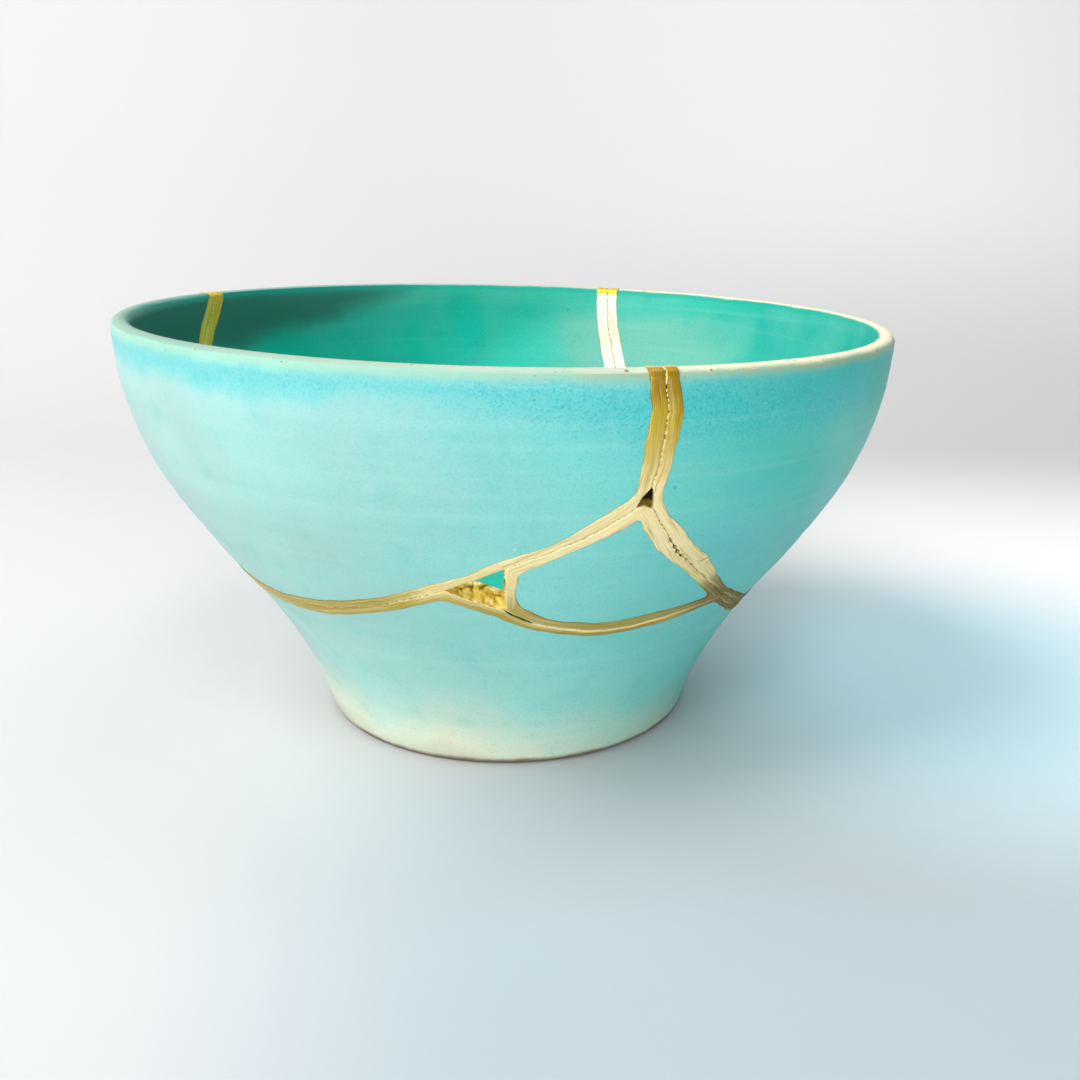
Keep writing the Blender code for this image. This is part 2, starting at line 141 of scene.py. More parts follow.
# Where a seam is open: reach along the crack, half width added and depth added, in metres
FORK_REACH = {"front": 0.0021, "upper": 0.0016, "right": 0.0016}
FORK_HALF, FORK_DEPTH = 0.00080, 0.0009
RIGHT_PITS = ((0.27, 0.6), (0.325, 0.9), (0.365, 1.0), (0.41, 0.8), (0.46, 0.6), (0.52, 0.5))
RIGHT_PIT_REACH, RIGHT_PIT_HALF, RIGHT_PIT_DEPTH = 0.0006, 0.00030, 0.0007
LOWER_PIT_AT, LOWER_PIT_REACH, LOWER_PIT_HALF, LOWER_PIT_DEPTH = 0.0025, 0.0030, 0.00022, 0.0010
PIT_MARK_STARTS = 0.00022

# Crease across the gold of the right seam: share of the crack's length, half width and rise in metres
FOLD_AT, FOLD_WIDTH, FOLD_RISE = 0.53, 0.00035, 0.00028

# Groove of a seam as shares of its half width and depth, and its band as shares of its width and rises
GROOVE_PROFILE = ((0.0, 1.0), (0.45, 0.86), (0.85, 0.34), (1.25, 0.03))
BAND_PROFILE = ((0.08, 0.000085), (0.25, 0.00010), (0.45, 0.00011), (0.66, 0.00012), (0.86, 0.00012),
                (0.95, 0.00010), (1.0, -0.00003))
CORNER_PASSES = 9
LIP_POINTS = 25
CHIP_LAYERS = 11
CROSSING_REACH = 90
CHART_RADIUS = 0.055
BLOCK = 2000

# Light of the room: where it starts and ends across, and its strength there
ROOM_LIGHT = (-0.8, 0.8, 0.34, 0.26)

# Lamps: name, place, what it is turned to, size, power and colour
LAMPS = (
    ("window_left", (-0.52, -0.16, 0.62), (0.0, 0.0, 0.03), (0.62, 0.62), 8.9, (1.0, 0.995, 0.985)),
    ("front_fill", (-0.25, -0.95, 0.11), (0.0, 0.0, 0.05), (1.3, 0.22), 7.6, (1.0, 0.99, 0.985)),
    ("back_wash", (0.25, 0.05, 0.85), (0.15, 0.45, 0.15), (0.5, 0.3), 1.3, (1.0, 0.99, 0.985)),
    ("front_spark", (0.03, -0.55, 0.72), (0.0, 0.05, 0.04), (0.2, 0.2), 1.2, (1.0, 1.0, 1.0)),
)

# Camera found from the photograph: place in metres, turns in degrees, lens in millimetres, and shift
CAMERA_PLACE = (0.0, -0.20665, 0.09029)
CAMERA_TURNS = (5.3498, 12.8068, 1.86538)
CAMERA_LENS = 39.39
CAMERA_SHIFT = -0.0741


def smooth(keys, values, at):
    """Value at a place on the cubic through the given values, with a three-point slope at each key."""
    last = len(keys) - 1
    i = min(max(bisect_right(keys, at) - 1, 0), last - 1)
    rises = [(values[k + 1] - values[k]) / (keys[k + 1] - keys[k]) for k in range(last)]
    slopes = []
    for k in (i, i + 1):
        if k == 0 or k == last:
            slopes.append(rises[min(k, last - 1)])
            continue
        before = keys[k] - keys[k - 1]
        after = keys[k + 1] - keys[k]
        slopes.append((rises[k - 1] * after + rises[k] * before) / (before + after))
    span = keys[i + 1] - keys[i]
    t = (at - keys[i]) / span
    start = (1 + 2 * t) * (1 - t) ** 2 * values[i] + t * (1 - t) ** 2 * span * slopes[0]
    end = t * t * (3 - 2 * t) * values[i + 1] + t * t * (t - 1) * span * slopes[1]
    return start + end


def outside(share):
    """Radius and height of the outside of the wall."""
    return Vector((RIM_RADIUS * smooth(OUTLINE_HEIGHTS, OUTLINE_RADII, share), HEIGHT * share))


def into_clay(share):
    """Direction square to the outside of the wall, towards the inside of the bowl."""
    along = outside(min(share + 0.004, 1.0)) - outside(max(share - 0.004, 0.0))
    return Vector((-along.y, along.x)).normalized()


def turned_section():
    """Fine half section of the bowl, and the rows where its outside, lip and inside run."""
    foot = outside(0.0).x
    inner_ring = foot - FOOT_EDGE - FOOT_RING_WIDTH
    rows = [(0.0, RECESS_DEPTH), (inner_ring - RECESS_SLOPE - 0.0004, RECESS_DEPTH),
            (inner_ring - RECESS_SLOPE, RECESS_DEPTH - 0.0002), (inner_ring - 0.0003, 0.0004),
            (inner_ring, 0.0001), (inner_ring + 0.0004, 0.0), (foot - FOOT_EDGE, 0.0),
            (foot - FOOT_EDGE * 0.45, FOOT_EDGE * 0.12), (foot - FOOT_EDGE * 0.1, FOOT_EDGE * 0.45)]
    foot_share = FOOT_EDGE / HEIGHT
    shares = [foot_share + (LIP_SHARE - foot_share) * k / WALL_ROWS for k in range(WALL_ROWS + 1)]
    outer = (len(rows), len(rows) + WALL_ROWS)
    rows += [tuple(outside(share)) for share in shares]
    wall_end = outside(LIP_SHARE)
    inner_end = wall_end + into_clay(LIP_SHARE) * smooth(THICKNESS_HEIGHTS, THICKNESSES, LIP_SHARE)
    for k in range(1, LIP_ROWS + 1):
        turn = math.pi * k / (LIP_ROWS + 1)
        side = math.cos(turn)
        across = 0.5 - 0.5 * math.copysign(abs(side) ** (2 / LIP_FULLNESS), side)
        lift = math.sin(turn) ** (2 / LIP_FULLNESS)
        place = wall_end.lerp(inner_end, across)
        rows.append((place.x, place.y * (1 - lift) + HEIGHT * lift))
    inner_shares = [share for share in reversed(shares) if share >= FLOOR_STARTS]
    inner = (len(rows), len(rows) + len(inner_shares) - 1)
    for share in inner_shares:
        place = outside(share) + into_clay(share) * smooth(THICKNESS_HEIGHTS, THICKNESSES, share)
        rows.append(tuple(place))
    edge = rows[-1]
    bottom = RECESS_DEPTH + FLOOR_THICKNESS
    for k in range(FLOOR_ROWS - 1, -1, -1):
        out = k / FLOOR_ROWS
        lift = smooth(FLOOR_PLACES, FLOOR_HEIGHTS, out)
        rows.append((edge[0] * out, bottom + (edge[1] - bottom) * lift))
    return np.array(rows), outer, inner, np.array(shares), np.array(inner_shares)


SECTION, OUTER_ROWS, INNER_ROWS, OUTER_SHARES, INNER_SHARES = turned_section()
STATIONS = np.concatenate([[0.0], np.cumsum(np.hypot(*np.diff(SECTION, axis=0).T))])
tangents = np.gradient(SECTION, axis=0)
tangents /= np.hypot(*tangents.T)[:, None]
INTO = np.stack([-tangents[:, 1], tangents[:, 0]], axis=1)
OUTER_STATIONS = STATIONS[OUTER_ROWS[0]:OUTER_ROWS[1] + 1]
INNER_STATIONS = STATIONS[INNER_ROWS[0]:INNER_ROWS[1] + 1]
LIP_START = OUTER_STATIONS[-1]
LIP_END = INNER_STATIONS[0]
LIP_TOP = (LIP_START + LIP_END) / 2
FOOT_STATION = OUTER_STATIONS[0]


def radius_at(along):
    """Distance of the skin from the axis."""
    return np.interp(along, STATIONS, SECTION[:, 0])


def outer_station(share):
    """Distance along the section to a share of the height on the outside."""
    return np.interp(share, OUTER_SHARES, OUTER_STATIONS)


def inner_station(share):
    """Distance along the section to a share of the height on the inside."""
    return np.interp(share, INNER_SHARES[::-1], INNER_STATIONS[::-1])


def waves(place, seed, lengths):
    """Smooth unevenness between about -1 and 1 made of a few waves."""
    total = np.zeros_like(place, dtype=float)
    for k, length in enumerate(lengths):
        bend = 0.8 * np.sin(place / length + seed)
        total += np.sin(2 * math.pi * place / length + seed * 2.39 + k * 1.7 + bend)
    return total / len(lengths)


def relief(angle, along):
    """How far the thrown surface stands out: faint finger rings and a slow wobble."""
    turn = np.radians(angle)
    rings = waves(along + 0.0006 * np.sin(turn + 0.7), 3.0, (0.0031, 0.0047, 0.0083))
    slow = waves(along + 0.004 * np.sin(2 * turn), 5.0, (0.019, 0.031))
    slow = slow * np.sin(turn * 2 + 1.1 + along * 40)
    body = np.clip(np.minimum(np.abs(along - LIP_TOP) - 0.0035, along - FOOT_STATION) / 0.004, 0.0, 1.0)
    body = body * np.clip((STATIONS[-1] - along) / 0.01, 0.0, 1.0)
    rim = 0.00010 * np.sin(2 * turn + 0.4) + 0.00006 * np.sin(3 * turn + 2.0)
    rise = np.clip((along - FOOT_STATION) / 0.03, 0.0, 1.0)
    rise = rise * np.clip((LIP_TOP - along) / 0.002, 0.0, 1.0)
    return body * (0.000040 * rings + 0.00006 * slow) + rim * rise


def on_skin(angle, along, depth):
    """Points of the bowl at an angle, a distance along the section and a depth into the clay."""
    depth = depth - relief(angle, along)
    radius, height = (np.interp(along, STATIONS, row) + np.interp(along, STATIONS, step) * depth
                      for row, step in zip(SECTION.T, INTO.T))
    turn = np.radians(angle)
    return np.stack([radius * np.sin(turn), -radius * np.cos(turn), height], axis=-1)


def turned_by(first, second):
    """Smallest turn from one angle to another in degrees."""
    return (second - first + 180.0) % 360.0 - 180.0


def square_to(angle, along):
    """Unit steps to the left of a line on the skin, round the bowl and along its section."""
    across = np.gradient(np.radians(angle)) * radius_at(along)
    up = np.gradient(along)
    size = np.hypot(across, up)
    return -up / size, across / size


def crack_line(name):
    """Fine wavering line of a crack: angles, shares of the height and shares of its length."""
    first, bends, last = CRACKS[name]
    knots = [JUNCTIONS[first], *bends, JUNCTIONS[last]]
    angles = [knots[0][0]]
    lengths = [0.0]
    for before, after in zip(knots, knots[1:]):
        turn = turned_by(before[0], after[0])
        angles.append(angles[-1] + turn)
        radius = outside((before[1] + after[1]) / 2).x
        rise = outer_station(after[1]) - outer_station(before[1])
        lengths.append(lengths[-1] + math.hypot(math.radians(turn) * radius, rise))
    shares = [knot[1] for knot in knots]
    step = FINE_STEP if name in FINE_CRACKS else PLAIN_STEP
    count = max(4, round(lengths[-1] / step))
    at = np.linspace(0.0, lengths[-1], count + 1)
    angle = np.array([smooth(lengths, angles, x) for x in at])
    share = np.array([smooth(lengths, shares, x) for x in at])
    along = outer_station(share)
    radius = radius_at(along)
    back, across = square_to(angle, along)
    seed = sum(ord(letter) for letter in name) % 17
    ends = np.clip(np.minimum(at, lengths[-1] - at) / 0.002, 0.0, 1.0)
    fine = 0.00005 * waves(at, seed + 3, (0.0012, 0.0019))
    waver = ends * (0.00010 * waves(at, seed, (0.0041, 0.0067)) + fine)
    angle = angle + np.degrees(back * waver / radius)
    along = along + across * waver
    share = np.interp(along, OUTER_STATIONS, OUTER_SHARES)
    share[[0, -1]] = shares[0], shares[-1]
    return angle, share, at / lengths[-1], lengths[-1]


LINES = {name: crack_line(name) for name in CRACKS}


def gold_width(name, way, share):
    """Width of the gold beside a crack in metres."""
    return 0.001 * np.interp(share, *GOLD_WIDTHS.get((name, way), THIN_GOLD))


def pit(name, share, length):
    """Half width and depth of the groove along a crack, wide and deep where the seam is open."""
    half = np.full(share.shape, HAIRLINE_HALF)
    depth = np.full(share.shape, HAIRLINE_DEPTH)
    place = share * length
    if name == "front":
        half = half + np.clip(1.3 - 2 * share, 0.0, 1.0) * 0.000015
    if name in FORK_REACH:
        near = (1 - share) * length if name == "front" else place
        opening = np.clip(1 - near / FORK_REACH[name], 0.0, 1.0)
        half = half + opening * FORK_HALF
        depth = depth + opening ** 0.4 * FORK_DEPTH
    if name == "right":
        for at, size in RIGHT_PITS:
            opening = np.clip(1 - np.abs(share - at) * length / RIGHT_PIT_REACH, 0.0, 1.0) * size
            half = half + opening * RIGHT_PIT_HALF
            depth = depth + opening * RIGHT_PIT_DEPTH
    if name == "lower":
        opening = np.clip(1 - np.abs(place - LOWER_PIT_AT) / LOWER_PIT_REACH, 0.0, 1.0) ** 0.6
        half = half + opening * LOWER_PIT_HALF
        depth = depth + opening * LOWER_PIT_DEPTH
    return half, depth


def side_of(name, way, where):
    """One side of a loop: points of a crack outside or inside, and what lies along it."""
    angle, share, part, length = LINES[name]
    half, depth = pit(name, part, length)
    if where == "out":
        along = outer_station(share)
        width = gold_width(name, way, part)
    else:
        along = inner_station(share)
        width = gold_width(name, way, part * 0.5 + 0.25)
        half = np.full(share.shape, HAIRLINE_HALF)
        depth = np.full(share.shape, HAIRLINE_DEPTH)
    fold = np.zeros(share.shape)
    if (name, way, where) == ("right", 1, "out"):
        fold = np.exp(-((part - FOLD_AT) * length / FOLD_WIDTH) ** 2)
    run = part * length + (0.5 if where == "in" else 0.0)
    side = {"angle": angle, "along": along, "width": width, "half": half, "depth": depth, "run": run,
            "fold": fold}
    return taken(side, slice(None, None, way))


def taken(side, points):
    """Some of the points of a side, with all that lies along it."""
    return {key: value[points] for key, value in side.items()}


def joined(pieces):
    """Sides put end to end as one side, the shared points kept once."""
    whole = {}
    for key in pieces[0]:
        parts = [piece[key][:-1] for piece in pieces[:-1]] + [pieces[-1][key]]
        whole[key] = np.concatenate(parts)
    return whole


def over_lip(side_out, side_in, to_inside):
    """The points of a crack over the lip, between its end outside and its end inside."""
    stations = np.linspace(LIP_START, LIP_END, LIP_POINTS)
    share = np.linspace(0.0, 1.0, LIP_POINTS)
    piece = {"along": stations}
    for key in ("angle", "width", "half", "depth", "fold"):
        piece[key] = side_out[key] * (1 - share) + side_in[key] * share
    piece["run"] = side_out["run"] + (stations - LIP_START) + 0.2
    return piece if to_inside else taken(piece, slice(None, None, -1))


def loops_of(chain, reaches_rim):
    """Closed loops round a piece as lists of sides. A rim piece starts and ends on top of the lip."""
    outs = [side_of(name, way, "out") for name, way in chain]
    for before, after in zip(outs, outs[1:]):
        after["angle"] = after["angle"] + (before["angle"][-1] - after["angle"][0])
    ins = [side_of(name, way, "in") for name, way in chain]
    for out, inn in zip(outs, ins):
        inn["angle"] = inn["angle"] + (out["angle"][0] - inn["angle"][0])
    backs = [taken(side, slice(None, None, -1)) for side in reversed(ins)]
    if not reaches_rim:
        return [outs, backs]
    down = over_lip(taken(outs[0], 0), taken(ins[0], 0), False)
    up = over_lip(taken(outs[-1], -1), taken(ins[-1], -1), True)
    half = len(down["along"]) // 2
    first = joined([taken(down, slice(half, None)), outs[0]])
    turn = joined([outs[-1], up, backs[0]])
    last = joined([backs[-1], taken(down, slice(half + 1))])
    return [[first, *outs[1:-1], turn, *backs[1:-1], last]]


def offset(side, width):
    """Side moved to its left by a width."""
    back, across = square_to(side["angle"], side["along"])
    angle = side["angle"] + np.degrees(back * width / radius_at(side["along"]))
    return np.stack([angle, side["along"] + across * width])


def crossing(first, second, radius):
    """Where the end of one line crosses the start of the next, as positions along both, or None."""
    scale = np.array([[math.radians(1.0) * radius], [1.0]])
    a = first[:, -CROSSING_REACH:] * scale
    b = second[:, :CROSSING_REACH] * scale
    p, r = a[:, :-1], np.diff(a)
    q, s = b[:, :-1], np.diff(b)
    cross = r[0][:, None] * s[1][None] - r[1][:, None] * s[0][None]
    cross = np.where(np.abs(cross) < 1e-18, 1e-18, cross)
    gap = q[:, None, :] - p[:, :, None]
    t = (gap[0] * s[1][None] - gap[1] * s[0][None]) / cross
    u = (gap[0] * r[1][:, None] - gap[1] * r[0][:, None]) / cross
    hit = (t >= 0) & (t <= 1) & (u >= 0) & (u <= 1)
    if not hit.any():
        return None
    i, j = np.nonzero(hit)
    best = np.argmin((a.shape[1] - i) + j)
    i, j = i[best], j[best]
    return first.shape[1] - a.shape[1] + i + t[i, j], j + u[i, j]


def trimmed(sides, widths, seam_at_start):
    """Each side's own line at its width, cut or joined where neighbours meet, with as many points."""
    lines = [offset(side, width) for side, width in zip(sides, widths)]
    count = len(sides)
    starts = [0.0] * count
    ends = [line.shape[1] - 1.0 for line in lines]
    for i in range(count):
        after = (i + 1) % count
        if after == 0 and seam_at_start:
            continue
        jump = np.array([[sides[i]["angle"][-1] - sides[after]["angle"][0]], [0.0]])
        radius = float(radius_at(sides[i]["along"][-1]))
        found = crossing(lines[i], lines[after] + jump, radius)
        if found:
            ends[i], starts[after] = found
            continue
        corner = np.array([sides[i]["angle"][-1], sides[i]["along"][-1]])
        scale = np.array([math.radians(1.0) * radius, 1.0])
        legs = (lines[i][:, -1] - corner) * scale, (lines[after][:, 0] + jump[:, 0] - corner) * scale
        middle = legs[0] + legs[1]
        middle *= (np.hypot(*legs[0]) + np.hypot(*legs[1])) / 2 / np.hypot(*middle)
        spot = corner + middle / scale
        lines[i] = lines[i].copy()
        lines[i][:, -1] = spot
        lines[after] = lines[after].copy()
        lines[after][:, 0] = spot - jump[:, 0]
    cut = []
    for line, start, end in zip(lines, starts, ends):
        at = np.linspace(start, end, line.shape[1])
        index = np.arange(line.shape[1])
        cut.append(np.stack([np.interp(at, index, line[0]), np.interp(at, index, line[1])]))
    return cut


def closed(parts):
    """Parts of a closed loop put together, the shared points kept once."""
    return np.concatenate([part[..., :-1] for part in parts], axis=-1)


def bare_line(sides):
    """Closed loop of the crack lines themselves."""
    return closed([np.stack([side["angle"], side["along"]]) for side in sides])


def eased(loop, winding, passes):
    """Closed loop with its corners rounded."""
    wrap = np.array([winding, 0.0])
    for _ in range(passes):
        before = np.concatenate([loop[:, -1:] - wrap[:, None], loop[:, :-1]], axis=1)
        after = np.concatenate([loop[:, 1:], loop[:, :1] + wrap[:, None]], axis=1)
        loop = loop * 0.5 + (before + after) * 0.25
    return loop


def strip_chart(angle, along):
    """Flat picture of the wall, unrolled."""
    return np.stack([np.radians(angle) * CHART_RADIUS, along], axis=-1)


def disc_chart(angle, along):
    """Flat picture of the skin, spread out from under the middle of the foot."""
    turn = np.radians(angle)
    return np.stack([along * np.cos(turn), along * np.sin(turn)], axis=-1)


def floor_chart(angle, along):
    """Flat picture of the skin, spread out from the middle of the floor."""
    return disc_chart(angle, STATIONS[-1] - along)


def within(spots, loops):
    """True where spots lie within an odd number of loops."""
    hits = np.zeros(len(spots), dtype=int)
    for loop in loops:
        a = loop
        b = np.roll(loop, -1, axis=0)
        rise = np.where(np.abs(b[:, 1] - a[:, 1]) < 1e-15, 1e-15, b[:, 1] - a[:, 1])
        for start in range(0, len(spots), BLOCK):
            x = spots[start:start + BLOCK, 0][:, None]
            y = spots[start:start + BLOCK, 1][:, None]
            spans = (a[:, 1][None] > y) != (b[:, 1][None] > y)
            left = x < a[:, 0][None] + (b[:, 0] - a[:, 0])[None] * (y - a[:, 1][None]) / rise[None]
            hits[start:start + BLOCK] += (spans & left).sum(axis=1)
    return hits % 2 == 1


def nearest(points, targets):
    """Distance from each point to the nearest target."""
    best = np.zeros(len(points))
    for start in range(0, len(points), BLOCK):
        gaps = points[start:start + BLOCK, None, :] - targets[None]
        best[start:start + BLOCK] = np.sqrt((gaps ** 2).sum(axis=2).min(axis=1))
    return best


def scattered(first_angle, last_angle, first_along, last_along):
    """Rows of evenly spaced points of the skin between two angles and two stations."""
    angles = []
    alongs = []
    rows = max(2, int((last_along - first_along) / (POINT_SPACING * 0.9)))
    for k, along in enumerate(np.linspace(first_along, last_along, rows)):
        radius = max(float(radius_at(along)), 0.0008)
        count = max(6, round(2 * math.pi * radius / POINT_SPACING))
        step = 360.0 / count
        ring = np.arange(math.ceil(first_angle / step), math.ceil(last_angle / step)) * step
        angles.append(ring + (k % 2) * step / 2)
        alongs.append(np.full(len(ring), along))
    return np.concatenate(angles), np.concatenate(alongs)


def fill(loops, angles, alongs, chart):
    """Places and triangles that fill loops on a chart."""
    outlines = [chart(*loop) for loop in loops]
    spots = chart(angles, alongs)
    keep = within(spots, outlines)
    edge = on_skin(*np.concatenate(loops, axis=1), 0.0)
    keep[keep] = nearest(on_skin(angles[keep], alongs[keep], 0.0), edge) > POINT_SPACING * 0.55
    places = np.concatenate([*loops, np.stack([angles[keep], alongs[keep]])], axis=1)
    flat = np.concatenate([*outlines, spots[keep]])
    edges = []
    first = 0
    for loop in outlines:
        edges += [(first + i, first + (i + 1) % len(loop)) for i in range(len(loop))]
        first += len(loop)
    out, _, faces, sources, _, _ = delaunay_2d_cdt([Vector(spot) for spot in flat], edges, [], 0, 1e-8)
    out = np.array([tuple(spot) for spot in out])
    triangles = np.array(faces)
    inside = within(out[triangles].mean(axis=1), outlines)
    origin = np.array([source[0] if source else -1 for source in sources])
    triangles = origin[triangles[inside]]
    return places, triangles[(triangles >= 0).all(axis=1)]


def mesh_object(name, points, faces, attributes, uvs, material, sharp):
    """Mesh piece with smooth shading, point attributes and, if given, a corner map."""
    mesh = bpy.data.meshes.new(name)
    mesh.from_pydata(points.tolist(), [], faces)
    for key, values in attributes.items():
        layer = mesh.attributes.new(key, "FLOAT", "POINT")
        layer.data.foreach_set("value", values.astype(np.float32))
    if uvs is not None:
        layer = mesh.uv_layers.new(name="Brush")
        layer.data.foreach_set("uv", uvs.astype(np.float32).ravel())
    mesh.materials.append(material)
    mesh.shade_smooth()
    if sharp:
        mesh.set_sharp_from_angle(angle=math.radians(sharp))
    mesh.validate()
    piece = bpy.data.objects.new(name, mesh)
    bpy.context.scene.collection.objects.link(piece)
    return piece


class Nodes:
    """A material's nodes, added one by one and joined by their sockets."""

    def __init__(self, name):
        self.material = bpy.data.materials.new(name)
        self.material.use_nodes = True
        self.tree = self.material.node_tree
        self.shader = self.tree.nodes["Principled BSDF"]
        self.colour = None

    def add(self, kind, inputs=None, output=0, **settings):
        """New node with settings and inputs. Gives the output socket asked for."""
        node = self.tree.nodes.new(kind)
        for key, value in settings.items():
            setattr(node, key, value)
        for key, value in (inputs or {}).items():
            self.put(node.inputs[key], value)
        return node.outputs[output]

    def put(self, socket, value):
        """Sets a socket to a value or joins another socket to it."""
        if isinstance(value, bpy.types.NodeSocket):
            self.tree.links.new(value, socket)
        else:
            colour = socket.type == "RGBA" and len(value) == 3
            socket.default_value = (*value, 1.0) if colour else value

    def math(self, operation, first, second=0.0, third=0.0, clamp=False):
        """Result of one piece of arithmetic."""
        values = {0: first, 1: second, 2: third}
        return self.add("ShaderNodeMath", values, operation=operation, use_clamp=clamp)

    def times(self, first, second):
        """Product of two numbers."""
        return self.math("MULTIPLY", first, second)

    def line(self, value, factor, base):
        """Value times a factor, and a base added."""
        return self.math("MULTIPLY_ADD", value, factor, base)

    def nudged(self, value, noise, amount):
        """Value moved to and fro by a noise whose mean is one half."""
        return self.line(self.math("SUBTRACT", noise, 0.5), amount, value)

    def axis(self, place, number):
        """One coordinate of a place."""
        return self.add("ShaderNodeSeparateXYZ", {0: place}, output=number)

    def mix(self, factor, first, second, blend="MIX"):
        """Two colours mixed."""
        node = self.tree.nodes.new("ShaderNodeMix")
        node.data_type = "RGBA"
        node.blend_type = blend
        self.put(node.inputs[0], factor)
        for place, value in ((6, first), (7, second)):
            self.put(node.inputs[place], value)
        return node.outputs[2]

    def paint(self, factor, colour, blend="MIX"):
        """Another colour laid over the colour so far."""
        self.colour = self.mix(factor, self.colour, colour, blend)

    def give(self, name, value):
        """Sets or joins a socket of the shader."""
        self.put(self.shader.inputs[name], value)

    def span(self, value, low, high, first=0.0, last=1.0):
        """Value moved from one range to another, smoothly and clamped."""
        node = self.tree.nodes.new("ShaderNodeMapRange")
        node.interpolation_type = "SMOOTHSTEP"
        for place, item in enumerate((value, low, high, first, last)):
            self.put(node.inputs[place], item)
        return node.outputs[0]

    def noise(self, place, scale, detail=3.0, roughness=0.5, distortion=0.0):
        """Cloudy noise between 0 and 1."""
        values = {"Vector": place, "Scale": scale, "Detail": detail, "Roughness": roughness,
                  "Distortion": distortion}
        return self.add("ShaderNodeTexNoise", values)

    def ramp(self, value, stops):
        """Colours along a value."""
        node = self.tree.nodes.new("ShaderNodeValToRGB")
        self.put(node.inputs[0], value)
        while len(node.color_ramp.elements) < len(stops):
            node.color_ramp.elements.new(0.5)
        for element, (place, colour) in zip(node.color_ramp.elements, stops):
            element.position = place
            element.color = (*colour, 1.0)
        return node.outputs[0]

    def scaled(self, place, scale):
        """Place stretched by a factor on each axis."""
        return self.add("ShaderNodeMapping", {"Vector": place, "Scale": scale}, vector_type="POINT")

    def attribute(self, name):
        """Number stored on the mesh."""
        return self.add("ShaderNodeAttribute", output=2, attribute_name=name)

    def spots(self, place, scale, size, share, seed):
        """Round spots of uneven size in a share of the cells of a grid."""
        shift = (seed, seed * 0.7, -seed)
        shifted = self.add("ShaderNodeVectorMath", {0: place, 1: shift}, operation="ADD")
        node = self.tree.nodes.new("ShaderNodeTexVoronoi")
        self.put(node.inputs["Vector"], shifted)
        self.put(node.inputs["Scale"], scale)
        chance = self.add("ShaderNodeSeparateColor", {0: node.outputs["Color"]})
        chosen = self.math("LESS_THAN", chance, share)
        radius = self.line(chance.node.outputs[1], size * 0.7, size * 0.3)
        fade = self.math("DIVIDE", node.outputs["Distance"], radius)
        return self.times(self.span(fade, 0.5, 1.0, 1.0, 0.0), chosen)


